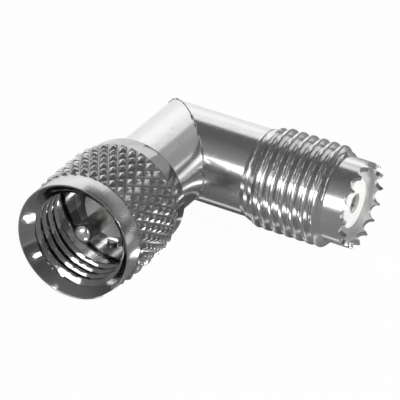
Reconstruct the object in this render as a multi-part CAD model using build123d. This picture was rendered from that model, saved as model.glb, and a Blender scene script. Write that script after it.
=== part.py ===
from build123d import *
import os
from math import cos, pi, sin

# Right-angle coax adapter: a knurled coupling nut and a pin on one arm, a threaded jack on the other.
# The origin is the centre of the plug's mating plane, where the pin leaves its insulator.
# The plug opens towards -Y, the jack arm points along +X, and +Z is up.
# All sizes are in millimetres. A station is a distance along an arm's own axis:
# on the plug arm it runs from the mating plane towards the corner,
# on the jack arm it runs from the corner towards the tooth tips.

# Elbow
corner_station = 14.0
tip_station = 18.4
neck_r = 4.175
cavity_r = 2.1
solder_thickness = 0.08
solder_bead = 0.04

# Coupling thread, the same on the jack and in the nut
thread_major_r = 9.525 / 2
thread_depth = 0.56
thread_play = 0.05
thread_length = 6.1
thread_runout = 0.8
thread_start_chamfer = 0.5

# Jack nose and its serrated rim
nose_length = 2.45
nose_r = 4.03
rim_bore_r = 3.5
rim_depth = 0.97
tooth_count = 16
tooth_depth = 0.66
valley_r = 0.70

# Plug front: shoulder ring with two locating keys that drop into the valleys of a mating rim
ring_setback = 0.8
key_count = 2
key_height = 0.5
key_r = 0.5

# Insulators
plug_insulator_r = 2.65
plug_insulator_length = 7.0
jack_insulator_r = 2.325
jack_insulator_length = 8.4

# Plug pin
pin_r = 0.875
pin_reach = 5.6
pin_nose_r = 0.5
pin_nose_flats = 2
stem_r = 0.65
stem_overrun = 1.0

# Jack contact
socket_play = 0.025
socket_depth = 6.5
contact_wall = 0.45
tine_play = 0.07
entry_play = 0.05
entry_lip = 0.3
slot_count = 4
slot_width = 0.25
slot_length = 5.6
contact_collar_r = 1.6
contact_collar_length = 0.9
tail_r = 0.6
spigot_r = 0.35
spigot_length = 1.9
spigot_overrun = 0.9

# Coupling nut
nut_length = 11.2
mouth_station = -7.0
lip_length = 2.2
lip_r = 5.5
mouth_land = 0.12
knurl_length = 7.0
knurl_r = 5.75
knurl_depth = 0.3
knurl_columns = 36
knurl_rows = 8
core_setback = 0.05
collar_r = 5.3
nut_thread_end = -2.0
relief_play = 0.09
web_station = 1.2
nut_play = 0.1

# Retaining ring between the nut and the neck
retainer_station = 2.3
retainer_groove_width = 0.9
retainer_width = 0.8
retainer_groove_r = 3.65
retainer_gap_deg = 40.0
retainer_inner_play = 0.07
retainer_r = 4.62
retainer_outer_play = 0.08

plug_axis = Plane(origin=(0, 0, 0), x_dir=(1, 0, 0), z_dir=(0, 1, 0))
jack_axis = Plane(origin=(0, corner_station, 0), x_dir=(0, 1, 0), z_dir=(1, 0, 0))
mitre = Plane(origin=(0, corner_station, 0), x_dir=(-1, 1, 0), z_dir=(1, 1, 0))

socket_r = pin_r + socket_play
contact_r = socket_r + contact_wall
rim_floor_station = tip_station - rim_depth
jack_insulator_seat = rim_floor_station - jack_insulator_length
contact_face_station = rim_floor_station - entry_lip
nut_minor_r = thread_major_r - thread_depth + thread_play
web_r = neck_r + nut_play
knurl_start = mouth_station + lip_length
knurl_end = knurl_start + knurl_length
valley_floor_r = knurl_r - knurl_depth


def turned(axis_plane, corners):
    """Turns a closed outline of (radius, station) corners about an arm's axis."""
    outline = Plane.XZ * Polyline(*corners, close=True)
    return axis_plane * revolve(make_face(outline), Axis.Z)


def rod(axis_plane, radius, start, end):
    """A round bar between two stations."""
    return turned(axis_plane, [(0, start), (radius, start), (radius, end), (0, end)])


def plug_body():
    """Turned arm that carries the nut, mitred at the corner, with keys on its front ring."""
    past_corner = corner_station + 2 * neck_r
    groove_end = retainer_station + retainer_groove_width
    blank = turned(plug_axis, [
        (plug_insulator_r, ring_setback),
        (neck_r, ring_setback),
        (neck_r, retainer_station),
        (retainer_groove_r, retainer_station),
        (retainer_groove_r, groove_end),
        (neck_r, groove_end),
        (neck_r, past_corner),
        (cavity_r, past_corner),
        (cavity_r, plug_insulator_length),
        (plug_insulator_r, plug_insulator_length),
    ])
    body = split(blank, bisect_by=mitre.offset(-solder_thickness / 2), keep=Keep.BOTTOM)
    return body + locating_keys()


def locating_keys():
    """Round-nosed keys on the ring face, as thick as a mating rim's teeth."""
    keys = Part()
    ring = turned(plug_axis, [
        (rim_bore_r, ring_setback - key_height),
        (nose_r, ring_setback - key_height),
        (nose_r, ring_setback),
        (rim_bore_r, ring_setback),
    ])
    centre = ring_setback - key_height + key_r
    for i in range(key_count):
        turn = Rot(0, 0, 90 + i * 360 / key_count)
        post = plug_axis * turn * Pos(0, 0, centre) * Rot(0, 90, 0) * Pos(0, 0, nose_r / 2)
        keys += (post * Cylinder(key_r, nose_r)) & ring
    return keys


def jack_body():
    """Turned arm with the coupling thread's blank, a smooth nose and the serrated rim."""
    before_corner = -2 * neck_r
    thread_end = tip_station - nose_length
    full_end = thread_end - thread_start_chamfer
    full_start = full_end - thread_length
    blank = turned(jack_axis, [
        (cavity_r, before_corner),
        (neck_r, before_corner),
        (neck_r, full_start - thread_runout),
        (thread_major_r, full_start),
        (thread_major_r, full_end),
        (nose_r, thread_end),
        (nose_r, tip_station),
        (rim_bore_r, tip_station),
        (rim_bore_r, rim_floor_station),
        (jack_insulator_r, rim_floor_station),
        (jack_insulator_r, jack_insulator_seat),
        (cavity_r, jack_insulator_seat),
    ])
    body = split(blank, bisect_by=mitre.offset(solder_thickness / 2), keep=Keep.TOP)
    return body - rim_valleys()


def rim_valleys():
    """Round-bottomed cuts across the rim; each bar cuts two valleys that face each other."""
    cuts = Part()
    centre = tip_station - tooth_depth + valley_r
    for i in range(tooth_count // 2):
        turn = Rot(0, 0, (i + 0.5) * 360 / tooth_count)
        cuts += jack_axis * turn * Pos(0, 0, centre) * Rot(0, 90, 0) * Cylinder(valley_r, 3 * nose_r)
    return cuts


def solder_ring():
    """Thin layer that joins the two mitred arms, with a slight bead outside."""
    stretch = 2 ** 0.5
    outer_r = neck_r + solder_bead
    face = Ellipse(outer_r * stretch, outer_r) - Ellipse(cavity_r * stretch, cavity_r)
    return mitre.offset(-solder_thickness / 2) * extrude(face, solder_thickness)


def plug_insulator():
    """Sleeve round the pin's stem; it stands proud of the metal ring and ends at the mating plane."""
    return turned(plug_axis, [
        (stem_r, 0),
        (plug_insulator_r, 0),
        (plug_insulator_r, plug_insulator_length),
        (stem_r, plug_insulator_length),
    ])


def plug_pin():
    """Pin with a rounded nose that seats on the insulator; its stem is drilled across at the corner."""
    stem_end = corner_station + stem_overrun
    nose = []
    for i in range(pin_nose_flats + 1):
        angle = i / pin_nose_flats * pi / 2
        nose.append((pin_r - pin_nose_r * (1 - sin(angle)), -pin_reach + pin_nose_r * (1 - cos(angle))))
    outline = [(0, -pin_reach), *nose, (pin_r, 0), (stem_r, 0), (stem_r, stem_end), (0, stem_end)]
    return turned(plug_axis, outline) - rod(jack_axis, spigot_r, -2 * stem_r, 2 * stem_r)


def jack_insulator():
    """Sleeve round the socket, with a lip that guides the mating pin."""
    collar_end = jack_insulator_seat + contact_collar_length
    return turned(jack_axis, [
        (contact_collar_r, jack_insulator_seat),
        (jack_insulator_r, jack_insulator_seat),
        (jack_insulator_r, rim_floor_station),
        (socket_r + entry_play, rim_floor_station),
        (socket_r + entry_play, contact_face_station),
        (contact_r + tine_play, contact_face_station),
        (contact_r + tine_play, collar_end),
        (contact_collar_r, collar_end),
    ])


def jack_contact():
    """Slotted socket with a collar, a tail and a spigot that crosses the plug pin's stem."""
    collar_end = jack_insulator_seat + contact_collar_length
    tail_start = spigot_length - spigot_overrun
    bore_end = contact_face_station - socket_depth
    contact = turned(jack_axis, [
        (0, -spigot_overrun),
        (spigot_r, -spigot_overrun),
        (spigot_r, tail_start),
        (tail_r, tail_start),
        (tail_r, jack_insulator_seat),
        (contact_collar_r, jack_insulator_seat),
        (contact_collar_r, collar_end),
        (contact_r, collar_end),
        (contact_r, contact_face_station),
        (socket_r, contact_face_station),
        (socket_r, bore_end),
        (0, bore_end),
    ])
    slot_middle = contact_face_station - slot_length / 2
    for i in range(slot_count // 2):
        turn = Rot(0, 0, 45 + i * 360 / slot_count)
        contact -= jack_axis * turn * Pos(0, 0, slot_middle) * Box(slot_width, 3 * contact_r, slot_length)
    return contact


def retaining_ring():
    """Split spring ring that keeps the nut on the neck and lets it turn."""
    slack = (retainer_groove_width - retainer_width) / 2
    start = retainer_station + slack
    end = start + retainer_width
    inner_r = retainer_groove_r + retainer_inner_play
    ring = turned(plug_axis, [(inner_r, start), (retainer_r, start), (retainer_r, end), (inner_r, end)])
    reach = 2 * retainer_r
    half = retainer_gap_deg / 2 * pi / 180
    wedge = Polygon((0, 0), (reach * cos(half), reach * sin(half)), (reach * cos(half), -reach * sin(half)),
                    align=None)
    cut = plug_axis * Pos(0, 0, start - slack) * extrude(wedge, retainer_groove_width)
    return ring - cut


def knurl_point(radius, column, row):
    """Point of the knurl's grid: two columns and two rows make one stud."""
    turn = column * pi / knurl_columns
    station = knurl_start + row * knurl_length / knurl_rows
    return plug_axis.from_local_coords(Vector(radius * cos(turn), radius * sin(turn), station))


def knurl_stud(column, row):
    """Four flanks from straight valleys up to a point; in the end rows, half a stud with a sloping end."""
    around = [(column - 1, row), (column, row - 1), (column + 1, row), (column, row + 1)]
    corners = [knurl_point(valley_floor_r, c, r) for c, r in around if 0 <= r <= knurl_rows]
    ends = {0: 0.5, knurl_rows: knurl_rows - 0.5}
    tip = knurl_point(knurl_r, column, ends.get(row, row))
    return [Face(Wire.make_polygon([corners[i - 1], corners[i], tip])) for i in range(len(corners))]


def knurl_band():
    """Diamond knurl: every second place of the grid holds a stud."""
    faces = []
    for row in range(knurl_rows + 1):
        for column in range(1 - row % 2, 2 * knurl_columns, 2):
            faces += knurl_stud(column, row)
    for row in (0, knurl_rows):
        columns = range(row % 2, 2 * knurl_columns, 2)
        faces.append(Face(Wire.make_polygon([knurl_point(valley_floor_r, c, row) for c in columns])))
    return Solid(Shell(faces))


def nut_outside():
    """Lip, core under the knurl and rear collar, solid to the axis."""
    nut_end = mouth_station + nut_length
    core_r = valley_floor_r * cos(pi / knurl_columns) - core_setback
    return turned(plug_axis, [
        (0, mouth_station),
        (lip_r, mouth_station),
        (lip_r, knurl_start),
        (core_r, knurl_start),
        (core_r, knurl_end),
        (collar_r, knurl_end),
        (collar_r, nut_end),
        (0, nut_end),
    ])


def nut_bore():
    """Countersunk mouth, thread bore, relief and the rear web with its ring groove."""
    nut_end = mouth_station + nut_length
    mouth_r = lip_r - mouth_land
    groove_end = retainer_station + retainer_groove_width
    groove_r = retainer_r + retainer_outer_play
    relief_r = thread_major_r + relief_play
    return turned(plug_axis, [
        (0, mouth_station),
        (mouth_r, mouth_station),
        (nut_minor_r, mouth_station + mouth_r - nut_minor_r),
        (nut_minor_r, nut_thread_end),
        (relief_r, nut_thread_end),
        (relief_r, web_station),
        (web_r, web_station),
        (web_r, retainer_station),
        (groove_r, retainer_station),
        (groove_r, groove_end),
        (web_r, groove_end),
        (web_r, nut_end),
        (0, nut_end),
    ])


def coupling_nut():
    """Freely turning nut that pulls a mating jack onto the plug."""
    return nut_outside() + knurl_band() - nut_bore()


os.makedirs("parts", exist_ok=True)

pieces = {
    "plug_body": plug_body(),
    "jack_body": jack_body(),
    "solder_ring": solder_ring(),
    "coupling_nut": coupling_nut(),
    "retaining_ring": retaining_ring(),
    "plug_insulator": plug_insulator(),
    "plug_pin": plug_pin(),
    "jack_insulator": jack_insulator(),
    "jack_contact": jack_contact(),
}

for name, piece in pieces.items():
    export_step(piece, f"parts/{name}.step")
    print(f"{name}: {piece.volume:.2f} mm3")
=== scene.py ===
# %% [markdown]
# # A right-angle coax adapter, dressed for a studio photograph
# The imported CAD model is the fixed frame: it says where every piece is and how large. This script builds
# the visible surfaces around it, gives each one a finish, and sets the camera and the light. Everything
# is in metres. The plug opens towards -Y, the jack points along +X, and +Z is up.

# %% Load the frame and keep its box
import bmesh
import bpy
import math
from mathutils import Matrix, Vector


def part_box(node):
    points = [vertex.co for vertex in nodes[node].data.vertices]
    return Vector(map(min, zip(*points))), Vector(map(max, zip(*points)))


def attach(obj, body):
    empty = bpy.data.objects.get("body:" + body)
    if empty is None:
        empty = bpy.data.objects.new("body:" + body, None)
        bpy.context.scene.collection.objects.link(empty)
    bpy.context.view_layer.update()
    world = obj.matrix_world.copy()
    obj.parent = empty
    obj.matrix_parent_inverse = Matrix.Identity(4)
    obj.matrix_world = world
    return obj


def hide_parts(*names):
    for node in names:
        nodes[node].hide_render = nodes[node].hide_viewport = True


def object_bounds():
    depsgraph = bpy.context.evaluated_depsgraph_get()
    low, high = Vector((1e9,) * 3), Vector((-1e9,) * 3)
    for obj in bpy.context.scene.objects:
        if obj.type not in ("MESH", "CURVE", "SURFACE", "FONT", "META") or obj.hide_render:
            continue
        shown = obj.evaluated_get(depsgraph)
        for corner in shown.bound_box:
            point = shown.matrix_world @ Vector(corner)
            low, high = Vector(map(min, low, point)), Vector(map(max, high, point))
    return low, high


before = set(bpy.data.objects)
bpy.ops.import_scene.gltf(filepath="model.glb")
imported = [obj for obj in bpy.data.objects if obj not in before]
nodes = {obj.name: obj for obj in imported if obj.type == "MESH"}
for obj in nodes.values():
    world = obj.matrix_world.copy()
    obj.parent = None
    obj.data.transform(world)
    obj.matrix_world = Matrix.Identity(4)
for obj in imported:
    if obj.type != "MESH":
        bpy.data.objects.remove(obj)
cad_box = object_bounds()
mm = 0.001
print("CAD box, mm:", [[round(c / mm, 3) for c in end] for end in cad_box])

# %% [markdown]
# ## Sizes read from the frame
# A turned piece is described by radii and stations. A station is a distance along the piece's own axis.
# The boxes of the CAD nodes give the main ones, so the surfaces below can't drift away from the solids.

# %% Read the main sizes
nut_low, nut_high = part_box("coupling_nut")
jack_low, jack_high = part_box("jack_body")
pin_low, pin_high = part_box("plug_pin")
sleeve_low, sleeve_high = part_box("jack_insulator")
neck_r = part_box("plug_body")[1].z
disc_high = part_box("plug_insulator")[1]
corner = (jack_low.y + jack_high.y) / 2
tip_station = jack_high.x
crest_r = jack_high.z
knurl_r = nut_high.z
mouth_station = nut_low.y
nut_end = nut_high.y
rim_floor = sleeve_high.x
sleeve_seat = sleeve_low.x
sleeve_r = sleeve_high.z
disc_r = disc_high.z
disc_length = disc_high.y
pin_r = pin_high.z
pin_tip = pin_low.y
pin_end = pin_high.y
print("corner at", round(corner / mm, 3), "mm")
print("neck and crest radius", round(neck_r / mm, 3), round(crest_r / mm, 3), "mm")

# %% [markdown]
# ## Two lathe axes
# The adapter is made of turned parts on two axes: the plug's, along +Y through the origin, and the
# jack's, along +X through the corner. A lathe axis turns (radius, angle, station) into a place.

# %% Define the lathe axes
class LatheAxis:
    """An axis with a direction of zero angle, from which places on turned surfaces are worked out."""

    def __init__(self, centre, along, zero):
        self.centre = Vector(centre)
        self.along = Vector(along)
        self.zero = Vector(zero)
        self.quarter = self.along.cross(self.zero)

    def place(self, radius, angle, station):
        out = math.cos(angle) * self.zero + math.sin(angle) * self.quarter
        return self.centre + radius * out + station * self.along


plug_axis = LatheAxis((0, 0, 0), (0, 1, 0), (1, 0, 0))
jack_axis = LatheAxis((0, corner, 0), (1, 0, 0), (0, 1, 0))

# %% [markdown]
# ## A lathe for closed shells
# Every turned piece here is a closed loop of rings: up its outside and back down its bore. Joining each
# ring to the next, and the last one to the first, gives a watertight tube with no poles to mend. A
# station may also be a function of the angle, which is how the 45 degree mitre at the corner is cut.

# %% Write the lathe
def even_angles(count):
    """Angles all the way round, evenly spaced."""
    return [i * math.tau / count for i in range(count)]


def ring_points(axis, rings, angles):
    """Places for each ring: a ring is (radius, station), and a station may depend on the angle."""
    points = []
    for radius, station in rings:
        for angle in angles:
            at = station(radius, angle) if callable(station) else station
            points.append(axis.place(radius, angle, at))
    return points


def ring_faces(ring_count, columns, closed):
    """Quads between neighbouring rings; a closed shell also joins its last ring to its first."""
    faces = []
    for ring in range(ring_count if closed else ring_count - 1):
        here = ring * columns
        there = (ring + 1) % ring_count * columns
        for i in range(columns):
            j = (i + 1) % columns
            faces.append((here + i, here + j, there + j, there + i))
    return faces


def make_object(name, points, faces):
    """A mesh object at the origin, with its place in its mesh."""
    mesh = bpy.data.meshes.new(name)
    mesh.from_pydata([tuple(p) for p in points], [], faces)
    mesh.update()
    made = bpy.data.objects.new(name, mesh)
    bpy.context.scene.collection.objects.link(made)
    return made


def turn_shell(name, axis, rings, columns):
    """Turns a closed loop of rings into a watertight shell."""
    points = ring_points(axis, rings, even_angles(columns))
    return make_object(name, points, ring_faces(len(rings), columns, True))


def turn_solid(name, axis, rings, columns):
    """Turns an open line of rings and closes both ends with a point on the axis."""
    points = ring_points(axis, rings, even_angles(columns))
    faces = ring_faces(len(rings), columns, False)
    for ring, station in ((0, rings[0][1]), (len(rings) - 1, rings[-1][1])):
        points.append(axis.place(0, 0, station))
        hub = len(points) - 1
        first = ring * columns
        faces += [(first + i, first + (i + 1) % columns, hub) for i in range(columns)]
    return make_object(name, points, faces)

# %% [markdown]
# ## Closing and smoothing a mesh
# A renderer needs faces that all point outwards, and an exporter wants a closed mesh. So each finished
# piece is welded, turned the right way out and shaded smooth, with sharp shading kept only where two
# faces really meet at an edge. The print shows at a glance whether a shell has stayed closed.

# %% Write the finishing step
weld_distance = 0.0005 * mm


def finish_mesh(piece, crease_deg=32):
    """Welds doubles, points the faces outwards, and shades smooth except at real edges."""
    mesh = bmesh.new()
    mesh.from_mesh(piece.data)
    bmesh.ops.remove_doubles(mesh, verts=mesh.verts, dist=weld_distance)
    bmesh.ops.recalc_face_normals(mesh, faces=mesh.faces)
    volume = mesh.calc_volume(signed=True)
    if volume < 0:
        bmesh.ops.reverse_faces(mesh, faces=mesh.faces)
    open_edges = sum(1 for e in mesh.edges if len(e.link_faces) != 2)
    mesh.to_mesh(piece.data)
    mesh.free()
    piece.data.shade_smooth()
    piece.data.set_sharp_from_angle(angle=math.radians(crease_deg))
    triangles = sum(len(p.vertices) - 2 for p in piece.data.polygons)
    volume_mm3 = round(abs(volume) / mm**3, 2)
    print(piece.name, "triangles", triangles, "open edges", open_edges, "volume mm3", volume_mm3)
    return piece

# %% [markdown]
# ## Rounded corners on a turned outline
# A lathe tool leaves a small radius on an edge, and that radius is what catches the light. A corner of
# the outline is replaced by a few points on a curve, so that each edge gets its own thin highlight. A
# round never takes more than a little under half of a side, so two rounds can't meet.

# %% Write the corner rounding
most_of_side = 0.45


def arc_points(before, corner_point, after, radius, steps=3):
    """Points of a round that replaces one corner of an outline."""
    a, b, c = Vector(before), Vector(corner_point), Vector(after)
    to_a, to_c = (a - b).normalized(), (c - b).normalized()
    cut = min(radius, most_of_side * (a - b).length, most_of_side * (c - b).length)
    start, end = b + to_a * cut, b + to_c * cut
    points = []
    for i in range(steps + 1):
        t = i / steps
        points.append(tuple((1 - t) ** 2 * start + 2 * t * (1 - t) * b + t**2 * end))
    return points


def rounded(outline, radii):
    """The outline with a round at each corner whose radius isn't zero."""
    points = []
    for i, point in enumerate(outline):
        radius = radii.get(i, 0)
        if radius:
            points += arc_points(outline[i - 1], point, outline[(i + 1) % len(outline)], radius)
        else:
            points.append(point)
    return points

# %% [markdown]
# ## Building node trees in a script
# Geometry Nodes and shader nodes are wired the same way: add a node, set its options, link its sockets.
# One small helper does all three, so each tree below reads as a list of steps. The others are short names
# for the sums that come again and again.

# %% Write the node helpers
def add_node(tree, kind, inputs=None, **options):
    """Adds a node; inputs maps a socket's name or number to a value or to another node's output."""
    made = tree.nodes.new(kind)
    for option, value in options.items():
        setattr(made, option, value)
    for key, value in (inputs or {}).items():
        socket = made.inputs[key]
        if isinstance(value, bpy.types.NodeSocket):
            tree.links.new(value, socket)
        else:
            socket.default_value = value
    return made


def maths(tree, operation, *values):
    """One Math node of either kind of tree; returns its output."""
    return add_node(tree, "ShaderNodeMath", dict(enumerate(values)), operation=operation).outputs[0]


def vector_maths(tree, operation, *values, output=0):
    """One Vector Math node; returns one output."""
    made = add_node(tree, "ShaderNodeVectorMath", dict(enumerate(values)), operation=operation)
    return made.outputs[output]


def scaled(tree, vector, factor):
    """A vector times a number."""
    return add_node(tree, "ShaderNodeVectorMath", {0: vector, "Scale": factor}, operation="SCALE").outputs[0]


def map_range(tree, value, low, high, curve="LINEAR"):
    """A value's share of the way from low to high, kept between 0 and 1."""
    return add_node(tree, "ShaderNodeMapRange", {"Value": value, "From Min": low, "From Max": high},
                    interpolation_type=curve).outputs[0]


def split_on_axis(tree, place, centre, along):
    """Splits a place: its station on an axis, that station as a vector, and the vector out from the axis."""
    offset = vector_maths(tree, "SUBTRACT", place, centre)
    station = vector_maths(tree, "DOT_PRODUCT", offset, along, output="Value")
    on_axis = scaled(tree, along, station)
    return station, on_axis, vector_maths(tree, "SUBTRACT", offset, on_axis)

# %% [markdown]
# ## Whole trees
# A tree is a node group: it has named sockets where sizes come in, and a result that goes out. A Geometry
# Nodes tree is put on a piece as a modifier, gets its sizes through those sockets, and is then baked, so
# that what stays is a plain mesh.

# %% Write the helpers for whole trees
def new_group(name, kind, inputs, outputs):
    """A node group with named sockets, listed by what they carry; returns it and both its ends."""
    tree = bpy.data.node_groups.new(name, kind)
    for side, sockets in (("INPUT", inputs), ("OUTPUT", outputs)):
        for carries, labels in sockets.items():
            for label in labels:
                tree.interface.new_socket(label, in_out=side, socket_type="NodeSocket" + carries)
    return tree, tree.nodes.new("NodeGroupInput").outputs, tree.nodes.new("NodeGroupOutput").inputs


def new_geometry_tree(name, sizes):
    """A Geometry Nodes tree: a mesh, its sizes and a material come in, and a mesh goes out."""
    inputs = {"Geometry": ["Geometry"], **sizes, "Material": ["Material"]}
    tree, given, out = new_group(name, "GeometryNodeTree", inputs, {"Geometry": ["Geometry"]})
    tree.is_modifier = True
    return tree, given, out


def close_tree(tree, geometry, given, out):
    """Ends a tree in Realize Instances and Set Material."""
    real = add_node(tree, "GeometryNodeRealizeInstances", {"Geometry": geometry}).outputs[0]
    painted = add_node(tree, "GeometryNodeSetMaterial", {"Geometry": real, "Material": given["Material"]})
    tree.links.new(painted.outputs[0], out["Geometry"])
    return tree


def bake_tree(piece, tree, values):
    """Runs a tree on a piece with the given sizes and keeps the result as a plain mesh."""
    modifier = piece.modifiers.new(tree.name, "NODES")
    modifier.node_group = tree
    for item in tree.interface.items_tree:
        if item.in_out == "INPUT" and item.name in values:
            modifier[item.identifier] = values[item.name]
    piece.update_tag()
    depsgraph = bpy.context.evaluated_depsgraph_get()
    baked = bpy.data.meshes.new_from_object(piece.evaluated_get(depsgraph), depsgraph=depsgraph)
    piece.modifiers.remove(modifier)
    piece.data = baked
    baked.name = piece.name
    print(tree.name, "made", len(baked.polygons), "faces on", piece.name)

# %% [markdown]
# ## Marks on a mesh
# A tree has to know which points are its own to move. An attribute tells it: each point carries a 1 or a
# 0 under a name, and the tree reads it as its selection.

# %% Write the marks
def mark_points(piece, name, test):
    """Marks the points of a piece whose places pass a test."""
    mark = piece.data.attributes.new(name, "FLOAT", "POINT")
    for i, vertex in enumerate(piece.data.vertices):
        mark.data[i].value = float(test(vertex.co))


def marked(tree, name):
    """One on the points with that mark, and zero elsewhere."""
    mark = add_node(tree, "GeometryNodeInputNamedAttribute", {"Name": name}, data_type="FLOAT").outputs[0]
    return maths(tree, "GREATER_THAN", mark, 0.5)

# %% [markdown]
# ## Finishes
# The real adapter is brass under a bright nickel plate, with white insulators and a thin line of solder.
# Plated metal is almost all reflection, so its detail is in the normals: fine turning lines and handling
# marks. Those effects, and the place on the lathe that they go by, are shared, so each is one node group.

# %% Build the shared effect: distance along and from a lathe axis
def lathe_coordinates_group():
    """Shader group: from Object coordinates to a station along an axis and a radius from it."""
    tree, given, out = new_group("Lathe coordinates", "ShaderNodeTree",
                                 {"Vector": ["Vector", "Centre", "Along"]}, {"Float": ["Station", "Radius"]})
    station, _, radial = split_on_axis(tree, given["Vector"], given["Centre"], given["Along"])
    tree.links.new(station, out["Station"])
    tree.links.new(vector_maths(tree, "LENGTH", radial, output="Value"), out["Radius"])
    return tree


lathe_coordinates = lathe_coordinates_group()

# %% Build the shared effect: turning lines
def turning_lines_group():
    """Shader group: a height that runs in rings round the axis, as a lathe tool leaves it."""
    tree, given, out = new_group("Turning lines", "ShaderNodeTree",
                                 {"Float": ["Station", "Radius", "Lines per Metre"]}, {"Float": ["Height"]})
    across = maths(tree, "ADD", given["Station"], given["Radius"])
    lines = maths(tree, "MULTIPLY", across, given["Lines per Metre"])
    noise = add_node(tree, "ShaderNodeTexNoise", {"W": lines, "Scale": 1.0, "Detail": 3.0, "Roughness": 0.7},
                     noise_dimensions="1D")
    tree.links.new(noise.outputs[0], out["Height"])
    return tree


turning_lines = turning_lines_group()

# %% Build the shared effect: handling marks
speck_start, speck_full = 0.6, 0.75


def handling_marks_group():
    """Shader group: soft blotches and small specks in a surface, each as a value from 0 to 1."""
    tree, given, out = new_group("Handling marks", "ShaderNodeTree",
                                 {"Vector": ["Vector"], "Float": ["Blotch Scale", "Speck Scale"]},
                                 {"Float": ["Blotches", "Specks"]})
    blotches, specks = (
        add_node(tree, "ShaderNodeTexNoise", {"Vector": given["Vector"], "Scale": given[scale],
                                              "Detail": detail, "Roughness": roughness}).outputs[0]
        for scale, detail, roughness in (("Blotch Scale", 4.0, 0.6), ("Speck Scale", 2.0, 0.5)))
    tree.links.new(blotches, out["Blotches"])
    tree.links.new(map_range(tree, specks, speck_start, speck_full), out["Specks"])
    return tree


handling_marks = handling_marks_group()

# %% [markdown]
# ## Laying the effects into a material
# Each finish below starts from the same few steps, so they have a name each. Bump takes a height in
# metres, which keeps a scratch the same depth on every piece.

# %% Write the steps of a material
def new_material(name):
    """A node material with its shader, ready for links."""
    material = bpy.data.materials.new(name)
    material.use_nodes = True
    return material, material.node_tree, material.node_tree.nodes["Principled BSDF"]


def lay_marks(tree, blotch_scale, speck_scale):
    """Handling marks all over a material, by Object coordinates."""
    place = tree.nodes.new("ShaderNodeTexCoord").outputs["Object"]
    return add_node(tree, "ShaderNodeGroup", {"Vector": place, "Blotch Scale": blotch_scale,
                                              "Speck Scale": speck_scale}, node_tree=handling_marks).outputs


def lay_lines(tree, axis, lines_per_mm):
    """Turning lines round an axis: the radius from it and the height of the lines."""
    place = tree.nodes.new("ShaderNodeTexCoord").outputs["Object"]
    lathe = add_node(tree, "ShaderNodeGroup", {"Vector": place, "Centre": axis.centre, "Along": axis.along},
                     node_tree=lathe_coordinates).outputs
    lines = add_node(tree, "ShaderNodeGroup", {
        "Station": lathe["Station"], "Radius": lathe["Radius"], "Lines per Metre": lines_per_mm / mm},
        node_tree=turning_lines)
    return lathe["Radius"], lines.outputs["Height"]


def lay_tints(tree, shader, value, low_colour, high_colour, low=0.0, high=1.0):
    """Colours a surface from one colour to another as a value goes from low to high."""
    ramp = tree.nodes.new("ShaderNodeValToRGB")
    for stop, position, colour in zip(ramp.color_ramp.elements, (low, high), (low_colour, high_colour)):
        stop.position = position
        stop.color = (*colour, 1)
    tree.links.new(value, ramp.inputs[0])
    tree.links.new(ramp.outputs[0], shader.inputs["Base Color"])


def lay_relief(tree, shader, height):
    """Bends the shader's normal by a height in metres."""
    bump = add_node(tree, "ShaderNodeBump", {"Height": height, "Distance": 1.0, "Strength": 1.0})
    tree.links.new(bump.outputs[0], shader.inputs["Normal"])

# %% [markdown]
# ## Plated metal
# All plated surfaces share one recipe with a few numbers of their own: how rough, how strongly lined, and
# where, by radius, the low places begin that have another tint. That tint is painted shade in the valleys of
# the knurl and in the bore, web and rear collar of the nut, and painted light on the rougher wall inside the
# rim. Metallic is the same all over, so it sits on the Principled shader's own socket, where an exporter can
# read it.

# %% Write the plated-metal recipe
blotch_scale = 420.0
blotch_roughness = 0.12
speck_roughness = 0.1


def plated_metal(name, axis, colour, roughness, lines_per_mm, line_depth, speck_depth=0.0,
                 speck_scale=2600.0, low_colour=None, low_r=0.0, high_r=1 * mm, low_dull=0.12):
    """Plated metal turned about an axis; inside low_r it takes its low colour, where painted shade and
    painted light go, and is duller by low_dull.
    """
    material, tree, shader = new_material(name)
    radius, lines = lay_lines(tree, axis, lines_per_mm)
    marks = lay_marks(tree, blotch_scale, speck_scale)
    # The radius mask for the low colour: painted shade in the nut and its knurl, painted light inside the
    # jack's rim.
    height = map_range(tree, radius, low_r, high_r, "SMOOTHSTEP")
    tint = add_node(tree, "ShaderNodeMix", {"Factor": height, "A": (*(low_colour or colour), 1),
                                            "B": (*colour, 1)}, data_type="RGBA")
    tree.links.new(tint.outputs["Result"], shader.inputs["Base Color"])
    smooth = roughness - blotch_roughness / 2
    uneven = maths(tree, "MULTIPLY_ADD", marks["Blotches"], blotch_roughness, smooth)
    dull = maths(tree, "MULTIPLY_ADD", maths(tree, "SUBTRACT", 1.0, height), low_dull, uneven)
    specked = maths(tree, "MULTIPLY_ADD", marks["Specks"], speck_roughness, dull)
    tree.links.new(specked, shader.inputs["Roughness"])
    shader.inputs["Metallic"].default_value = 1.0
    relief = maths(tree, "MULTIPLY", maths(tree, "MULTIPLY", lines, height), line_depth)
    lay_relief(tree, shader, maths(tree, "MULTIPLY_ADD", marks["Specks"], -speck_depth, relief))
    return material

# %% Make the plated finishes
nickel = (0.72, 0.72, 0.715)
lip_nickel = (0.59, 0.59, 0.585)
# Inside 5.34 mm the nut is painted darker: painted shade in its bore and countersink, and on the web and the
# narrow rear collar.
bore_painted_shade = (0.44, 0.44, 0.44)
knurl_crests = (0.6, 0.6, 0.6)
# The knurl's valleys take a darker grey: painted shade between the studs.
knurl_valley_painted_shade = (0.4, 0.4, 0.4)
# The wall inside the jack's rim, and the bore behind it, take a near-white: painted light inside the rim.
rim_wall_painted_light = (0.96, 0.96, 0.95)
# The nut's low colour is painted shade inside the nut.
nut_plate = plated_metal("Nickel plate on the nut", plug_axis, lip_nickel, roughness=0.2, lines_per_mm=9,
                         line_depth=0.007 * mm, low_colour=bore_painted_shade, low_r=5.34 * mm, high_r=5.44 * mm,
                         low_dull=-0.1)
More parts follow.
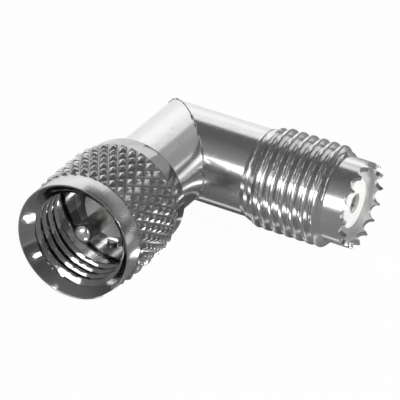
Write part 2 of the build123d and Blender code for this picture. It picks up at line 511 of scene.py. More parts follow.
# The knurl's low colour is painted shade in its valleys.
knurl_plate = plated_metal("Nickel plate on the knurl", plug_axis, knurl_crests, roughness=0.2,
                           lines_per_mm=9, line_depth=0.001 * mm, speck_depth=0.004 * mm,
                           speck_scale=3600.0, low_colour=knurl_valley_painted_shade, low_r=5.46 * mm, high_r=5.66 * mm)
neck_plate = plated_metal("Nickel plate on the plug arm", plug_axis, nickel, roughness=0.19, lines_per_mm=7,
                          line_depth=0.001 * mm, speck_depth=0.0015 * mm)
# The jack's low colour is painted light inside the rim; it is also rougher there.
jack_plate = plated_metal("Nickel plate on the jack arm", jack_axis, nickel, roughness=0.2, lines_per_mm=7,
                          line_depth=0.0008 * mm, speck_depth=0.002 * mm, low_colour=rim_wall_painted_light,
                          low_r=3.52 * mm, high_r=3.6 * mm, low_dull=0.28)
pin_plate = plated_metal("Bright plate on the contacts", plug_axis, (0.8, 0.8, 0.78), roughness=0.16,
                         lines_per_mm=8, line_depth=0.001 * mm)
socket_plate = plated_metal("Satin plate in the socket", jack_axis, (0.94, 0.94, 0.92), roughness=0.7,
                            lines_per_mm=8, line_depth=0.001 * mm)
spring_bronze = plated_metal("Spring bronze", plug_axis, (0.72, 0.58, 0.36), roughness=0.3, lines_per_mm=4,
                             line_depth=0.001 * mm)
plated = (nut_plate, knurl_plate, neck_plate, jack_plate, pin_plate, socket_plate, spring_bronze)
print("plated finishes:", [material.name for material in plated])

# %% [markdown]
# ## White insulator
# The insulators are turned from a waxy white plastic. It is matt, slightly uneven in colour, and the
# lathe leaves faint rings on its flat faces.

# %% Make the insulator finish
def waxy_white(name, axis):
    """White turned plastic with faint rings and a slight unevenness of colour."""
    material, tree, shader = new_material(name)
    _, lines = lay_lines(tree, axis, 6)
    marks = lay_marks(tree, 700.0, 3000.0)
    lay_tints(tree, shader, marks["Blotches"], (0.78, 0.78, 0.76), (0.9, 0.9, 0.885))
    shader.inputs["Roughness"].default_value = 0.5
    lay_relief(tree, shader, maths(tree, "MULTIPLY", lines, 0.004 * mm))
    return material


plug_white = waxy_white("White plastic in the plug", plug_axis)
jack_white = waxy_white("White plastic in the jack", jack_axis)

# %% [markdown]
# ## Solder
# Solder that has run round the joint is duller than the plate and has a skin of fine dimples.

# %% Make the solder finish
def solder_skin():
    """Dull solder with dimples and darker flux stains."""
    material, tree, shader = new_material("Solder skin")
    marks = lay_marks(tree, 1500.0, 5000.0)
    stain, bright = (0.25, 0.25, 0.25), (0.85, 0.85, 0.85)
    lay_tints(tree, shader, marks["Blotches"], stain, bright, low=0.42, high=0.6)
    shader.inputs["Metallic"].default_value = 1.0
    shader.inputs["Roughness"].default_value = 0.55
    lay_relief(tree, shader, maths(tree, "MULTIPLY", marks["Blotches"], 0.03 * mm))
    return material


solder = solder_skin()

# %% [markdown]
# ## Cutting a screw thread with a rule
# A thread could be a swept profile, but a rule is shorter and never leaves a seam: every point of a
# turned blank knows its station and its angle, and so its place in the helix. The tree below lowers each
# marked point to the thread's own surface wherever that lies under the blank, which is just what a
# threading die does. Where the blank slopes, at the run-in and at the start, the thread fades out by
# itself. Root and crest each take a share of the pitch, and the roundness bends the straight flank
# between them.

# %% Build the thread tree
axis_sockets = ["Centre", "Along", "Zero"]


def lathe_places(tree, given):
    """A point on the lathe: its station as a vector and a number, its outward vector, radius and angle."""
    position = tree.nodes.new("GeometryNodeInputPosition").outputs[0]
    station, along, radial = split_on_axis(tree, position, given["Centre"], given["Along"])
    radius = vector_maths(tree, "LENGTH", radial, output="Value")
    quarter = vector_maths(tree, "CROSS_PRODUCT", given["Along"], given["Zero"])
    sine = vector_maths(tree, "DOT_PRODUCT", radial, quarter, output="Value")
    cosine = vector_maths(tree, "DOT_PRODUCT", radial, given["Zero"], output="Value")
    return along, station, radial, radius, maths(tree, "ARCTAN2", sine, cosine)


def thread_tree():
    """Geometry Nodes: cuts a helical thread into the points marked threaded."""
    tree, given, out = new_geometry_tree("Cut a thread", {
        "Vector": axis_sockets,
        "Float": ["Pitch", "Root Radius", "Depth", "Side", "Phase", "Root Share", "Crest Share",
                  "Roundness"]})
    along, station, radial, radius, angle = lathe_places(tree, given)
    turns = maths(tree, "DIVIDE", angle, math.tau)
    pitches = maths(tree, "SUBTRACT", maths(tree, "DIVIDE", station, given["Pitch"]), turns)
    phase = maths(tree, "FRACT", maths(tree, "ADD", pitches, given["Phase"]))
    from_root = maths(tree, "ABSOLUTE", maths(tree, "MULTIPLY_ADD", phase, 2.0, -1.0))
    crest_from = maths(tree, "SUBTRACT", 1.0, given["Crest Share"])
    straight = map_range(tree, from_root, given["Root Share"], crest_from)
    curved = map_range(tree, straight, 0.0, 1.0, "SMOOTHSTEP")
    bend = maths(tree, "SUBTRACT", curved, straight)
    flank = maths(tree, "MULTIPLY_ADD", bend, given["Roundness"], straight)
    rise = maths(tree, "MULTIPLY", flank, given["Depth"])
    thread = maths(tree, "ADD", maths(tree, "MULTIPLY", given["Root Radius"], given["Side"]), rise)
    lower = maths(tree, "MINIMUM", maths(tree, "MULTIPLY", radius, given["Side"]), thread)
    new_radius = maths(tree, "MULTIPLY", lower, given["Side"])
    spoke = scaled(tree, vector_maths(tree, "NORMALIZE", radial), new_radius)
    place = vector_maths(tree, "ADD", vector_maths(tree, "ADD", given["Centre"], along), spoke)
    moved = add_node(tree, "GeometryNodeSetPosition", {"Geometry": given["Geometry"], "Position": place,
                                                       "Selection": marked(tree, "threaded")})
    return close_tree(tree, moved.outputs[0], given, out)


cut_thread = thread_tree()

# %% Write the steps of threading
pitch = 25.4 / 24 * mm
thread_depth = 0.56 * mm


def mark_threaded(piece, axis, start, end, least_r, most_r):
    """Marks the points of a blank between two stations and two radii for the thread tree."""
    def between(place):
        offset = place - axis.centre
        station = offset.dot(axis.along)
        return start <= station <= end and least_r <= (offset - station * axis.along).length <= most_r

    mark_points(piece, "threaded", between)


def axis_values(axis):
    """An axis as inputs of a tree."""
    return {"Centre": axis.centre, "Along": axis.along, "Zero": axis.zero}


def cut_helix(piece, axis, material, root_r, side, phase, root_share, crest_share, roundness):
    """Cuts the coupling thread into a marked blank; the side is 1 on the outside and -1 in a bore."""
    bake_tree(piece, cut_thread, {
        **axis_values(axis), "Pitch": pitch, "Root Radius": root_r, "Depth": thread_depth, "Side": side,
        "Phase": phase, "Root Share": root_share, "Crest Share": crest_share, "Roundness": roundness,
        "Material": material})

# %% [markdown]
# ## Milling the serrated rim with a rule
# The jack's rim has sixteen teeth between round-bottomed valleys, milled across the rim by a round cutter.
# The tree lowers each point of the rim to the cutter's surface. The cutter's width is the same at both
# sides of the wall, so the teeth come to a cusp inside and keep a narrow flat outside, as on the real rim.
# A point's place in its tooth is what is left of its angle, counted in teeth. A hundred teeth are added
# first, so that the count is above zero all the way round.

# %% Build the teeth tree
teeth_above_zero = 100.0


def teeth_tree():
    """Geometry Nodes: mills round valleys across the end of a turned rim."""
    tree, given, out = new_geometry_tree("Mill the rim", {
        "Vector": axis_sockets, "Int": ["Count"], "Float": ["Tip Station", "Depth", "Cutter Radius"]})
    _, station, _, radius, angle = lathe_places(tree, given)
    step = maths(tree, "DIVIDE", math.tau, given["Count"])
    steps = maths(tree, "ADD", maths(tree, "DIVIDE", angle, step), teeth_above_zero)
    off_valley = maths(tree, "MULTIPLY", maths(tree, "SUBTRACT", maths(tree, "FRACT", steps), 0.5), step)
    across = maths(tree, "MULTIPLY", radius, maths(tree, "SINE", off_valley))
    cutter = given["Cutter Radius"]
    cutter_squared = maths(tree, "MULTIPLY", cutter, cutter)
    room = maths(tree, "SUBTRACT", cutter_squared, maths(tree, "MULTIPLY", across, across))
    rise = maths(tree, "SQRT", maths(tree, "MAXIMUM", room, 0.0))
    centre = maths(tree, "ADD", maths(tree, "SUBTRACT", given["Tip Station"], given["Depth"]), cutter)
    lowered = maths(tree, "MINIMUM", station, maths(tree, "SUBTRACT", centre, rise))
    shift = scaled(tree, given["Along"], maths(tree, "SUBTRACT", lowered, station))
    moved = add_node(tree, "GeometryNodeSetPosition", {"Geometry": given["Geometry"], "Offset": shift,
                                                       "Selection": marked(tree, "rim")})
    return close_tree(tree, moved.outputs[0], given, out)


mill_rim = teeth_tree()

# %% [markdown]
# ## The mitre
# Both arms and the solder between them are cut at 45 degrees across the corner. Seen along either axis
# such a cut is the same rule: the station falls with the cosine of the angle. Only the offset differs.

# %% Write the mitre
seam_face = 0.04 * mm * math.sqrt(2)
cavity_r = 2.1 * mm


def mitre_cut(offset):
    """The station of a cut parallel to the mitre, moved along the axis by an offset."""
    return lambda radius, angle: -radius * math.cos(angle) + offset

# %% [markdown]
# ## The jack arm
# One turned piece: mitre, plain neck, coupling thread, smooth nose and serrated rim. The blank is a loop
# of rings, dense where the thread will be. First the die tree cuts the thread, then the milling tree cuts
# the rim. Both leave the shell closed. Beside the mitre and the thread one more ring stands close by, a
# ring gap away, so that smooth shading doesn't smear an edge over the plain stretch next to it.

# %% Set the jack arm's sizes
thread_row = pitch / 24
thread_end = tip_station - 2.45 * mm
thread_full_end = thread_end - 0.5 * mm
thread_full_start = thread_full_end - 6.1 * mm
thread_start = thread_full_start - 1.5 * mm
nose_r = 4.03 * mm
rim_bore_r = 3.5 * mm
rim_edge = 0.04 * mm
tooth_root = tip_station - 0.78 * mm
seat_edge = 0.03 * mm
jack_neck_ring = 5.2 * mm
ring_gap = 0.02 * mm
print("thread from", round(thread_start / mm, 2), "to", round(thread_end / mm, 2), "mm")

# %% Turn the jack arm's blank
def dense(start, end, step):
    """Stations from start to end, no further apart than step."""
    count = max(1, math.ceil((end - start) / step))
    return [start + (end - start) * i / count for i in range(count + 1)]


def jack_outline():
    """Rings of the blank, from the mitre out to the rim, and back through the bore."""
    neck = [(neck_r, mitre_cut(seam_face)), (neck_r, mitre_cut(seam_face + ring_gap)),
            (neck_r, jack_neck_ring), (neck_r, thread_start - ring_gap)]
    thread = []
    for station in dense(thread_start, thread_end, thread_row):
        ramp = (station - thread_start) / (thread_full_start - thread_start)
        cone = neck_r + (crest_r - neck_r) * min(1, ramp)
        fall = (station - thread_full_end) / (thread_end - thread_full_end)
        thread.append((min(cone, crest_r + (nose_r - crest_r) * max(0, fall)), station))
    nose = [(nose_r, thread_end + ring_gap), (nose_r, tooth_root), (nose_r, tip_station - rim_edge),
            (nose_r - rim_edge, tip_station), (rim_bore_r + rim_edge, tip_station),
            (rim_bore_r, tip_station - rim_edge), (rim_bore_r, tooth_root)]
    bore = [(rim_bore_r, rim_floor + seat_edge), (rim_bore_r - seat_edge, rim_floor),
            (sleeve_r + seat_edge, rim_floor), (sleeve_r, rim_floor - seat_edge), (sleeve_r, sleeve_seat),
            (cavity_r, sleeve_seat), (cavity_r, jack_neck_ring), (cavity_r, mitre_cut(seam_face))]
    return neck + thread + nose + bore


jack_arm = turn_shell("jack_arm", jack_axis, jack_outline(), 320)
mark_threaded(jack_arm, jack_axis, thread_start, thread_end, neck_r, crest_r * 1.01)
mark_points(jack_arm, "rim", lambda place: place.x > tip_station - rim_edge - ring_gap)

# %% Cut the thread and mill the rim
first_crest = 9.82 * mm
top_turns = 0.25
jack_phase = -((first_crest / pitch - top_turns) % 1)
cut_helix(jack_arm, jack_axis, jack_plate, root_r=neck_r + 0.03 * mm, side=1.0, phase=jack_phase,
          root_share=0.1, crest_share=0.16, roundness=0.8)
bake_tree(jack_arm, mill_rim, {**axis_values(jack_axis), "Count": 16, "Tip Station": tip_station,
                               "Depth": 0.66 * mm, "Cutter Radius": 0.7 * mm, "Material": jack_plate})
finish_mesh(jack_arm)

# %% [markdown]
# ## The plug arm
# The plug arm is plain: a short ring face with two locating keys inside the nut, a groove for the
# retaining ring, and a smooth neck that ends in the same mitre as the jack arm.

# %% Turn the plug arm
ring_setback = 0.8 * mm
ring_edge = 0.06 * mm
groove_start = 2.3 * mm
groove_end = 3.2 * mm
groove_r = 3.65 * mm
plug_neck_ring = 8.0 * mm
plug_outline = [
    (disc_r, ring_setback),
    (neck_r - ring_edge, ring_setback),
    (neck_r, ring_setback + ring_edge),
    (neck_r, groove_start),
    (groove_r, groove_start),
    (groove_r, groove_end),
    (neck_r, groove_end),
    (neck_r, plug_neck_ring),
    (neck_r, mitre_cut(corner - seam_face - ring_gap)),
    (neck_r, mitre_cut(corner - seam_face)),
    (cavity_r, mitre_cut(corner - seam_face)),
    (cavity_r, plug_neck_ring),
    (cavity_r, disc_length),
    (disc_r, disc_length),
]
plug_arm = turn_shell("plug_arm", plug_axis, plug_outline, 256)
plug_arm.data.materials.append(neck_plate)
finish_mesh(plug_arm)

# %% [markdown]
# ## The diamond knurl
# A knurl is one small raised diamond repeated hundreds of times, so it is a natural job for instances.
# The host mesh is a flat tile that holds one whole diamond's worth of pattern: an X of valleys with a
# stud at the middle of each side. The tree puts the tile on a grid, makes the copies real, welds them
# into a sheet, bends the sheet round the nut and fades the studs at both ends of the band.

# %% Make one knurl tile
knurl_columns = 36
knurl_tile_rows = 4
stud_levels = [0, 0.06, 0.80, 0.88, 1]
shoulder_height = 0.96


def stud_height(level):
    """Height share by the distance from the nearest valley line: flat floor, flank, worn top."""
    floor, shoulder, top = stud_levels[1:4]
    if level <= floor:
        return 0.0
    if level >= top:
        return 1.0
    if level <= shoulder:
        return (level - floor) / (shoulder - floor) * shoulder_height
    return shoulder_height + (1 - shoulder_height) * (level - shoulder) / (top - shoulder)


def knurl_tile():
    """A flat tile of side 2, cut along the lines where its height changes slope."""
    points, faces = [], []
    for mirror_u in (1, -1):
        for mirror_v in (1, -1):
            for swap in (False, True):
                first = len(points)
                for level in stud_levels[:-1]:
                    for a, b in ((level, 0.0), (1.0, 1.0 - level)):
                        u, v = (b, a) if swap else (a, b)
                        points.append((mirror_u * (1 - u), mirror_v * (1 - v), stud_height(level)))
                u, v = (0.0, 1.0) if swap else (1.0, 0.0)
                points.append((mirror_u * (1 - u), mirror_v * (1 - v), 1.0))
                for i in range(len(stud_levels) - 2):
                    k = first + 2 * i
                    faces.append((k, k + 1, k + 3, k + 2))
                k = first + 2 * (len(stud_levels) - 2)
                faces.append((k, k + 1, k + 2))
    return points, faces


tile_points, tile_faces = knurl_tile()
knurl_sheet = make_object("knurl_sheet", tile_points, tile_faces)
print("knurl tile faces", len(tile_faces))

# %% Build the knurl tree
def knurl_tree():
    """Geometry Nodes: repeats the tile over a grid and bends the sheet into a band."""
    tree, given, out = new_geometry_tree("Diamond knurl", {
        "Int": ["Columns", "Tile Rows"],
        "Float": ["Start", "Length", "Valley Radius", "Stud Height", "End Fade"]})
    columns, rows, length = given["Columns"], given["Tile Rows"], given["Length"]
    grid = add_node(tree, "GeometryNodeMeshGrid", {
        "Size X": maths(tree, "MULTIPLY", maths(tree, "SUBTRACT", columns, 1.0), 2.0),
        "Size Y": maths(tree, "MULTIPLY", maths(tree, "SUBTRACT", rows, 1.0), 2.0),
        "Vertices X": columns, "Vertices Y": rows})
    tiles = add_node(tree, "GeometryNodeInstanceOnPoints", {"Points": grid.outputs[0],
                                                            "Instance": given["Geometry"]})
    real = add_node(tree, "GeometryNodeRealizeInstances", {"Geometry": tiles.outputs[0]})
    sheet = add_node(tree, "GeometryNodeMergeByDistance", {"Geometry": real.outputs[0], "Distance": 0.001})
    position = tree.nodes.new("GeometryNodeInputPosition").outputs[0]
    flat = add_node(tree, "ShaderNodeSeparateXYZ", {0: position}).outputs
    turn = maths(tree, "DIVIDE", maths(tree, "MULTIPLY", flat["X"], math.pi), columns)
    share = maths(tree, "DIVIDE", maths(tree, "ADD", flat["Y"], rows), maths(tree, "MULTIPLY", rows, 2.0))
    station = maths(tree, "MULTIPLY_ADD", share, length, given["Start"])
    nearer_end = maths(tree, "MINIMUM", share, maths(tree, "SUBTRACT", 1.0, share))
    fade = map_range(tree, maths(tree, "MULTIPLY", nearer_end, length), 0.0, given["End Fade"])
    height = maths(tree, "MULTIPLY", maths(tree, "MULTIPLY", flat["Z"], given["Stud Height"]), fade)
    radius = maths(tree, "ADD", given["Valley Radius"], height)
    down = maths(tree, "MULTIPLY", maths(tree, "SINE", turn), -1.0)
    place = add_node(tree, "ShaderNodeCombineXYZ", {
        "X": maths(tree, "MULTIPLY", radius, maths(tree, "COSINE", turn)), "Y": station,
        "Z": maths(tree, "MULTIPLY", radius, down)}).outputs[0]
    bent = add_node(tree, "GeometryNodeSetPosition", {"Geometry": sheet.outputs[0], "Position": place})
    welded = add_node(tree, "GeometryNodeMergeByDistance", {"Geometry": bent.outputs[0],
                                                            "Distance": 0.001 * mm})
    return close_tree(tree, welded.outputs[0], given, out)

# %% Bend the knurl into a band
knurl_start = mouth_station + 2.2 * mm
knurl_length = 7.0 * mm
knurl_end = knurl_start + knurl_length
knurl_depth = 0.3 * mm
valley_r = knurl_r - knurl_depth
bake_tree(knurl_sheet, knurl_tree(), {
    "Columns": knurl_columns, "Tile Rows": knurl_tile_rows, "Start": knurl_start, "Length": knurl_length,
    "Valley Radius": valley_r, "Stud Height": knurl_depth, "End Fade": 0.3 * mm, "Material": knurl_plate})

# %% [markdown]
# ## The coupling nut
# The rest of the nut is turned on the same columns as the knurl, so that the two weld into one closed
# shell. Its bore starts with a deep countersink, then the inside thread, a smooth relief and the web that
# turns on the neck. The thread tree is the same as before, with its side set to minus one: it cuts
# outwards.

# %% Set the nut's sizes
lip_r = 5.5 * mm
mouth_r = lip_r - 0.12 * mm
collar_front_r = 5.4 * mm
collar_rear_r = 5.2 * mm
nut_minor_r = 4.2525 * mm
relief_r = 4.8525 * mm
relief_ring = -0.5 * mm
web_r = neck_r + 0.1 * mm
web_station = 1.2 * mm
nut_groove_r = 4.7 * mm
nut_thread_end = -2.0 * mm
nut_thread_front = mouth_station + mouth_r - relief_r
lip_rounds = {1: 0.06 * mm, 2: 0.08 * mm, 3: 0.03 * mm}
collar_rounds = {1: 0.05 * mm, 2: 0.15 * mm}
tile_steps = stud_levels[:-1] + [1] + [2 - s for s in reversed(stud_levels[1:-1])]
nut_angles = [-(tile * 2 + step) * math.pi / knurl_columns
              for tile in range(knurl_columns) for step in tile_steps]
print("nut columns", len(nut_angles))

# %% Turn the nut and cut its thread
def nut_outline():
    """Rings of the nut except its knurled band, from the band's front edge round to its rear edge."""
    sink_tip = mouth_station + mouth_r
    lip = rounded([(valley_r, knurl_start), (lip_r, knurl_start), (lip_r, mouth_station),
                   (mouth_r, mouth_station), (nut_minor_r, sink_tip - nut_minor_r)], lip_rounds)
    sink = [(max(nut_minor_r, sink_tip - station), station)
            for station in dense(nut_thread_front, nut_thread_end, thread_row)]
    rear = [(relief_r, nut_thread_end + ring_gap), (relief_r, relief_ring), (relief_r, web_station),
            (web_r, web_station), (web_r, groove_start), (nut_groove_r, groove_start),
            (nut_groove_r, groove_end), (web_r, groove_end)]
    collar = rounded([(web_r, groove_end), (web_r, nut_end), (collar_rear_r, nut_end),
                      (collar_front_r, knurl_end), (valley_r, knurl_end)], collar_rounds)
    return lip[:-1] + sink + rear + collar[1:]


nut_rings = nut_outline()
nut_shell = make_object("nut_shell", ring_points(plug_axis, nut_rings, nut_angles),
                        ring_faces(len(nut_rings), len(nut_angles), False))
mark_threaded(nut_shell, plug_axis, nut_thread_front - 0.001 * mm, nut_thread_end + 0.001 * mm,
              nut_minor_r * 0.99, relief_r * 1.001)
cut_helix(nut_shell, plug_axis, nut_plate, root_r=crest_r + 0.05 * mm, side=-1.0, phase=0.3,
          root_share=0.2, crest_share=0.2, roundness=0.1)

# %% Weld the knurled band to the nut
def join_pieces(target, other):
    """Joins a second mesh, with its one material, into a first."""
    mesh = bmesh.new()
    mesh.from_mesh(target.data)
    own_faces = len(mesh.faces)
    mesh.from_mesh(other.data)
    mesh.faces.ensure_lookup_table()
    for face in mesh.faces[own_faces:]:
        face.material_index = 1
    mesh.to_mesh(target.data)
    mesh.free()
    target.data.materials.append(other.data.materials[-1])
    print("finishes on", target.name, [m.name for m in target.data.materials])
    bpy.data.objects.remove(other)


join_pieces(nut_shell, knurl_sheet)
finish_mesh(nut_shell)

# %% [markdown]
# ## The centre pin
# The pin's nose is the first thing seen in the nut's mouth, and its curve has to be smooth. It is turned
# as a quarter of an ellipse in ten small steps.

# %% Turn the centre pin
nose_reach = 0.55 * mm
nose_steps = 10
stem_r = 0.65 * mm
shoulder_edge = 0.01 * mm
pin_rings = []
for step in range(1, nose_steps + 1):
    bend = step / nose_steps * math.pi / 2
    pin_rings.append((pin_r * math.sin(bend), pin_tip + nose_reach * (1 - math.cos(bend))))
pin_rings += [(pin_r, -shoulder_edge), (pin_r, 0.0), (stem_r, 0.0), (stem_r, pin_end)]
centre_pin = turn_solid("centre_pin", plug_axis, pin_rings, 96)
centre_pin.data.materials.append(pin_plate)
finish_mesh(centre_pin, crease_deg=40)

# %% [markdown]
# ## The solder seam
# Where the two arms meet, solder shows as a fine line with small lumps. The ring fills the gap between
# the two mitred ends, and a small tree pushes its outer rows out by a noise with a fixed seed, so no two
# lumps are alike and the result is the same on every run.

# %% Build the solder tree
def solder_tree():
    """Geometry Nodes: swells the marked outer rows of the solder ring into uneven lumps."""
    tree, given, out = new_geometry_tree("Solder lumps", {
        "Float": ["Lump Height", "Lumps per Metre", "Seed"]})
    noise = add_node(tree, "ShaderNodeTexNoise", {"Scale": given["Lumps per Metre"], "W": given["Seed"],
                                                  "Detail": 2.0}, noise_dimensions="4D").outputs[0]
    lump = maths(tree, "MULTIPLY", map_range(tree, noise, 0.52, 0.74), marked(tree, "bead"))
    rise = maths(tree, "MULTIPLY", lump, given["Lump Height"])
    push = scaled(tree, tree.nodes.new("GeometryNodeInputNormal").outputs[0], rise)
    moved = add_node(tree, "GeometryNodeSetPosition", {"Geometry": given["Geometry"], "Offset": push})
    return close_tree(tree, moved.outputs[0], given, out)

# %% Make the solder ring
bead_width = 0.08 * mm
bead_rise = 0.03 * mm
bead_steps = 6
bead_foot_r = neck_r - 0.05 * mm
bead_rings = [(cavity_r, mitre_cut(-seam_face)), (bead_foot_r, mitre_cut(-seam_face))]
for step in range(bead_steps + 1):
    side = step / bead_steps * 2 - 1
    bulge = bead_rise * math.sqrt(max(0.0, 1 - side**2))
    bead_rings.append((neck_r + bulge, mitre_cut(side * bead_width)))
bead_rings += [(bead_foot_r, mitre_cut(seam_face)), (cavity_r, mitre_cut(seam_face))]
solder_seam = turn_shell("solder_seam", jack_axis, bead_rings, 480)
finish_mesh(solder_seam, crease_deg=60)
mark_points(solder_seam, "bead", lambda place: math.hypot(place.y - corner, place.z) > neck_r + 0.01 * mm)
bake_tree(solder_seam, solder_tree(), {"Lump Height": 0.14 * mm, "Lumps per Metre": 1100.0, "Seed": 4.0,
                                       "Material": solder})
finish_mesh(solder_seam, crease_deg=60)

# %% [markdown]
# ## Locating keys
# Two small round-nosed keys stand on the ring face inside the nut and drop into two valleys of a mating
# rim.

# %% Make the keys
key_height = 0.5 * mm
key_r = 0.5 * mm
key_steps = 12
key_foot = ring_setback + 0.02 * mm


def key_points(angle):
    """Points of one key: a half-round bar across the ring face, between the rim's two radii."""
    points = []
    for radius in (rim_bore_r, nose_r):
        for step in range(key_steps + 1):
            sweep = step / key_steps * math.pi
            lean = angle + math.asin(key_r * math.cos(sweep) / radius)
            points.append(plug_axis.place(radius, lean, key_foot - key_height * math.sin(sweep)))
    return points


def make_key(name, angle):
    """One closed key on the ring face."""
    count = key_steps + 1
    faces = [tuple(range(count)), tuple(range(2 * count - 1, count - 1, -1))]
    for i in range(count):
        j = (i + 1) % count
        faces.append((i, j, count + j, count + i))
    key = make_object(name, key_points(angle), faces)
    key.data.materials.append(neck_plate)
    return finish_mesh(key)


keys = [make_key(f"locating_key_{i + 1}", math.pi / 2 + i * math.pi) for i in range(2)]

# %% [markdown]
# ## Finishes on the CAD nodes that stay
# The two insulators, the socket and the retaining ring are already the right shape. They keep their own
# meshes and only get a finish.

# %% Paint the CAD nodes
for node, material in (("plug_insulator", plug_white), ("jack_insulator", jack_white),
                       ("jack_contact", socket_plate), ("retaining_ring", spring_bronze)):
    nodes[node].data.materials.clear()
    nodes[node].data.materials.append(material)
    print(node, "has", material.name)

# %% [markdown]
# ## What rides on what
# The nut turns on the elbow, so its shell rides on the nut's body. Everything else belongs to the elbow.
# Each dressed piece stands for the CAD node whose form it repeats.

# %% Ride and replace
for piece, body, node, slot in (
    (nut_shell, "nut", "coupling_nut", "plated_nut"),
    (jack_arm, "elbow", "jack_body", "plated_body"),
    (plug_arm, "elbow", "plug_body", "plated_body"),
    (centre_pin, "elbow", "plug_pin", "plated_contact"),
    (solder_seam, "elbow", "solder_ring", "solder"),
):
    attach(piece, body)
    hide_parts(node)
for key in keys:
    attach(key, "elbow")

# %% [markdown]
# ## The camera
# The photograph was taken with a long lens from above and to the left, with the jack's end a little low.
# These numbers come from fitting the solids' outline to the photograph's 400 by 400 frame.

# %% Place the camera
azimuth, elevation, roll = math.radians(24.906), math.radians(29.185), math.radians(5.305)
distance = 314.885 * mm
focal_px = 3511.213
frame_px = 400
target = Vector((5.650, 6.300, 0)) * mm
back = Vector((math.sin(azimuth) * math.cos(elevation), -math.cos(azimuth) * math.cos(elevation),
               math.sin(elevation)))
right = Vector((math.cos(azimuth), math.sin(azimuth), 0))
up = back.cross(right)
right_rolled = math.cos(roll) * right + math.sin(roll) * up
up_rolled = -math.sin(roll) * right + math.cos(roll) * up
lens = bpy.data.cameras.new("camera")
lens.sensor_width = 36
lens.lens = focal_px / frame_px * lens.sensor_width
lens.clip_start, lens.clip_end = 0.01, 10
camera = bpy.data.objects.new("camera", lens)
turn = Matrix((right_rolled, up_rolled, back)).transposed().to_4x4()
camera.matrix_world = Matrix.Translation(target + back * distance) @ turn
bpy.context.scene.collection.objects.link(camera)
bpy.context.scene.camera = camera
print("lens", round(lens.lens, 1), "mm")

# %% [markdown]
# ## Floor and background
# The photograph's background is plain white. The floor is a pale matt sheet; for camera, glossy and
# transmission rays it also glows evenly, so that it reads as white and the object's shadow stays only as
# a faint tone.

# %% Lay the floor
floor_z = cad_box[0].z
floor_half = 0.6
floor_glow = 0.97


def flat_sheet(name, corners, height):
    """One level face with the given corners."""
    return make_object(name, [(x, y, height) for x, y in corners], [tuple(range(len(corners)))])


def rectangle(left, right, front, back):
    """Corners of a rectangle seen from above, anticlockwise."""
    return [(left, front), (right, front), (right, back), (left, back)]


def matt_paint(name, shade):
    """A matt grey, with its tree and shader for what else it does."""
    paint, tree, shader = new_material(name)
    shader.inputs["Base Color"].default_value = (shade, shade, shade, 1)
    shader.inputs["Roughness"].default_value = 0.9
    return paint, tree, shader


def seen_directly(tree):
    """One where a camera, glossy or transmission ray looks, and zero for light off matt things."""
    path = tree.nodes.new("ShaderNodeLightPath")
    seen = maths(tree, "MAXIMUM", path.outputs["Is Camera Ray"], path.outputs["Is Glossy Ray"])
    return maths(tree, "MAXIMUM", seen, path.outputs["Is Transmission Ray"])


floor = flat_sheet("floor", rectangle(-floor_half, floor_half, -floor_half, floor_half), floor_z)
floor_paint, floor_tree, floor_shader = matt_paint("Pale floor", 0.8)
glow = add_node(floor_tree, "ShaderNodeEmission", {"Color": (1, 1, 1, 1), "Strength": 1.0})
share = maths(floor_tree, "MULTIPLY", seen_directly(floor_tree), floor_glow)
mixed = add_node(floor_tree, "ShaderNodeMixShader", {0: share, 1: floor_shader.outputs[0],
                                                     2: glow.outputs[0]})
floor_tree.links.new(mixed.outputs[0], floor_tree.nodes["Material Output"].inputs["Surface"])
floor.data.materials.append(floor_paint)
print("floor at", round(floor_z / mm, 3), "mm")

# %% [markdown]
# ## The room
# What no lamp or card fills in the metal is the room itself. It is dim, and a little lighter to the front
# left, as if a pale wall stood there. The camera sees plain white instead.

# %% Set the world
lighter_side = (-0.37, -0.85, 0.37)
room_dark = 0.125
room_light = 0.25
world = bpy.data.worlds.new("studio")
bpy.context.scene.world = world
world.use_nodes = True
world_tree = world.node_tree
room = world_tree.nodes["Background"]
room.inputs["Color"].default_value = (1, 1, 1, 1)
direction = world_tree.nodes.new("ShaderNodeTexCoord").outputs["Generated"]
facing = vector_maths(world_tree, "DOT_PRODUCT", direction, lighter_side, output="Value")
strength = add_node(world_tree, "ShaderNodeMapRange", {"Value": facing, "From Min": 0.55, "From Max": 1.0,
                                                       "To Min": room_dark, "To Max": room_light},
                    interpolation_type="SMOOTHSTEP")
world_tree.links.new(strength.outputs[0], room.inputs["Strength"])
white = add_node(world_tree, "ShaderNodeBackground", {"Color": (1, 1, 1, 1), "Strength": 1.0})
path = world_tree.nodes.new("ShaderNodeLightPath")
world_mix = add_node(world_tree, "ShaderNodeMixShader", {
    0: path.outputs["Is Camera Ray"], 1: room.outputs[0], 2: white.outputs[0]})
world_tree.links.new(world_mix.outputs[0], world_tree.nodes["World Output"].inputs["Surface"])

# %% [markdown]
# ## Lamps
# Bright metal shows what stands around it, so the studio is built to be seen in it. Upright panels behind
# the object give the light bands on top of both arms, brighter to the left, where the photograph's are. A
# wide lamp at the right lights the white disc and isn't seen in the metal. In front, a strip gives the
# streak along the jack, and a bar beside it adds the glints low in the nut's mouth. A lamp high in front
# reaches the keys deep in the nut and the crests of the thread. A panel high at the right gives the wedge
# of light on the neck beside the seam, and two very small lamps add a patch beside it and a hard spot in
# the mouth. A wide dim panel overhead keeps the view from above from going dark. A lamp's power is worked
# out from its area, so that the number given is how bright it looks in the metal.

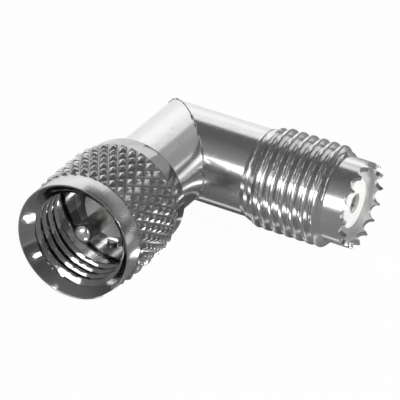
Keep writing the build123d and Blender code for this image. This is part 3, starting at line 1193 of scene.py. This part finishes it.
# %% Write the lamp
def soft_panel(name, position, aim, width, height, radiance):
    """A rectangular lamp turned towards a point, as bright to the eye as the given radiance."""
    light = bpy.data.lights.new(name, "AREA")
    light.shape = "RECTANGLE"
    light.size, light.size_y = width, height
    light.energy = radiance * math.pi * width * height
    lamp = bpy.data.objects.new(name, light)
    lamp.location = position
    lamp.rotation_mode = "QUATERNION"
    lamp.rotation_quaternion = (Vector(aim) - Vector(position)).to_track_quat("-Z", "Y")
    bpy.context.scene.collection.objects.link(lamp)
    return lamp

# %% Hang the panels behind the object
middle = (cad_box[0] + cad_box[1]) / 2
behind = Vector((0, 0.30, 0))
for name, left, right, bottom, top, radiance in (
    ("back_panel", -0.47, 0.0, 0.10, 0.25, 1.16),
    ("high_back_panel", -0.36, -0.13, 0.25, 0.56, 1.05),
    ("back_middle_panel", 0.0, 0.10, 0.06, 0.25, 0.4),
    ("back_right_panel", 0.10, 0.28, 0.06, 0.25, 0.26),
    ("low_back_panel", -0.47, -0.09, 0.0, 0.10, 0.95),
):
    aim = middle + Vector(((left + right) / 2, 0, (bottom + top) / 2))
    soft_panel(name, aim + behind, aim, right - left, top - bottom, radiance)

# %% Hang the other lamps
disc_lamp = soft_panel("disc_lamp", middle + Vector((0.35, 0, 0.16)), middle, 0.30, 0.30, 4.2)
disc_lamp.visible_glossy = False
lamp_distance = 0.4
for name, direction, width, height, radiance in (
    ("front_strip", (-0.38, -0.89, 0.26), 0.12, 0.17, 3.5),
    ("front_bar", (-0.13, -0.90, 0.39), 0.045, 0.12, 10.0),
    ("back_right_lamp", (0.55, 0.78, 0.30), 0.022, 0.022, 2.5),
    ("high_front_lamp", (-0.08, -0.77, 0.63), 0.03, 0.08, 6.0),
    ("wedge_panel", (0.60, -0.34, 0.72), 0.11, 0.22, 2.8),
    ("front_right_lamp", (0.69, -0.63, 0.35), 0.026, 0.026, 45.0),
):
    soft_panel(name, middle + lamp_distance * Vector(direction), middle, width, height, radiance)
top_aim = middle + Vector((0.13, -0.07, 0))
soft_panel("top_panel", top_aim + Vector((0, 0, 0.5)), top_aim, 0.42, 0.44, 0.25)
print("lamps", [lamp.name for lamp in bpy.data.lights])

# %% [markdown]
# ## Cards
# A white floor would turn the lower half of bright metal flat white. Grey cards lie on it, which only the
# metal sees: one in front of the jack, one behind it, one at the right, and one far behind that greys the
# crests of the thread against the background. The slit between the front and the back card is the white
# line along the jack's lower side. Two small cards glow: one gives the specks low on the knurl and the
# lower row of dots on the thread, the other the white spot at the left in the mouth.

# %% Lay the cards
card_z = floor_z + 0.05 * mm
card_lift = 0.1 * mm
card_reach = 0.25
card_lean = 0.4
slit_front = corner - 3.2 * mm
slit_back = corner - 2.5 * mm
card_back = corner + 9 * mm
front_right_x = tip_station - card_lean * (slit_front + card_reach)
far_y = 0.28
far_left, far_right = -0.065, 0.10
spot_x = 2.2 * mm
spot_y = mouth_station - 2.8 * mm
spot_half = 0.9 * mm


def lay_card(name, shade, corners, lift=0.0, glow=0.0):
    """A matt card of one grey just above the floor, seen only in the metal."""
    card = flat_sheet(name, corners, card_z + lift)
    card_paint, _, card_shader = matt_paint(name, shade)
    card_shader.inputs["Emission Color"].default_value = (1, 1, 1, 1)
    card_shader.inputs["Emission Strength"].default_value = glow
    card.data.materials.append(card_paint)
    card.visible_camera = False
    card.visible_diffuse = False
    card.visible_shadow = False


lay_card("front_card", 0.34, [(-card_reach, -card_reach), (front_right_x, -card_reach),
                              (tip_station, slit_front), (-card_reach, slit_front)])
lay_card("glint_card", 1.0, rectangle(knurl_r + 0.3 * mm, tip_station - 6.6 * mm, corner - 11.2 * mm,
                                      corner - 9.0 * mm), lift=card_lift, glow=5.0)
lay_card("spot_card", 1.0, rectangle(spot_x - spot_half, spot_x + spot_half, spot_y - spot_half,
                                     spot_y + spot_half), lift=card_lift, glow=8.0)
lay_card("right_card", 0.3, [(front_right_x, -card_reach), (card_reach, -card_reach),
                             (card_reach, card_back), (tip_station, card_back), (tip_station, slit_front)])
lay_card("back_card", 0.40, rectangle(-card_reach, tip_station, slit_back, card_back))
lay_card("far_card", 0.36, [(3 * mm, card_back), (tip_station, card_back), (far_right, far_y),
                            (far_left, far_y)])

# %% Close the scene
bpy.context.scene.view_settings.view_transform = "Standard"
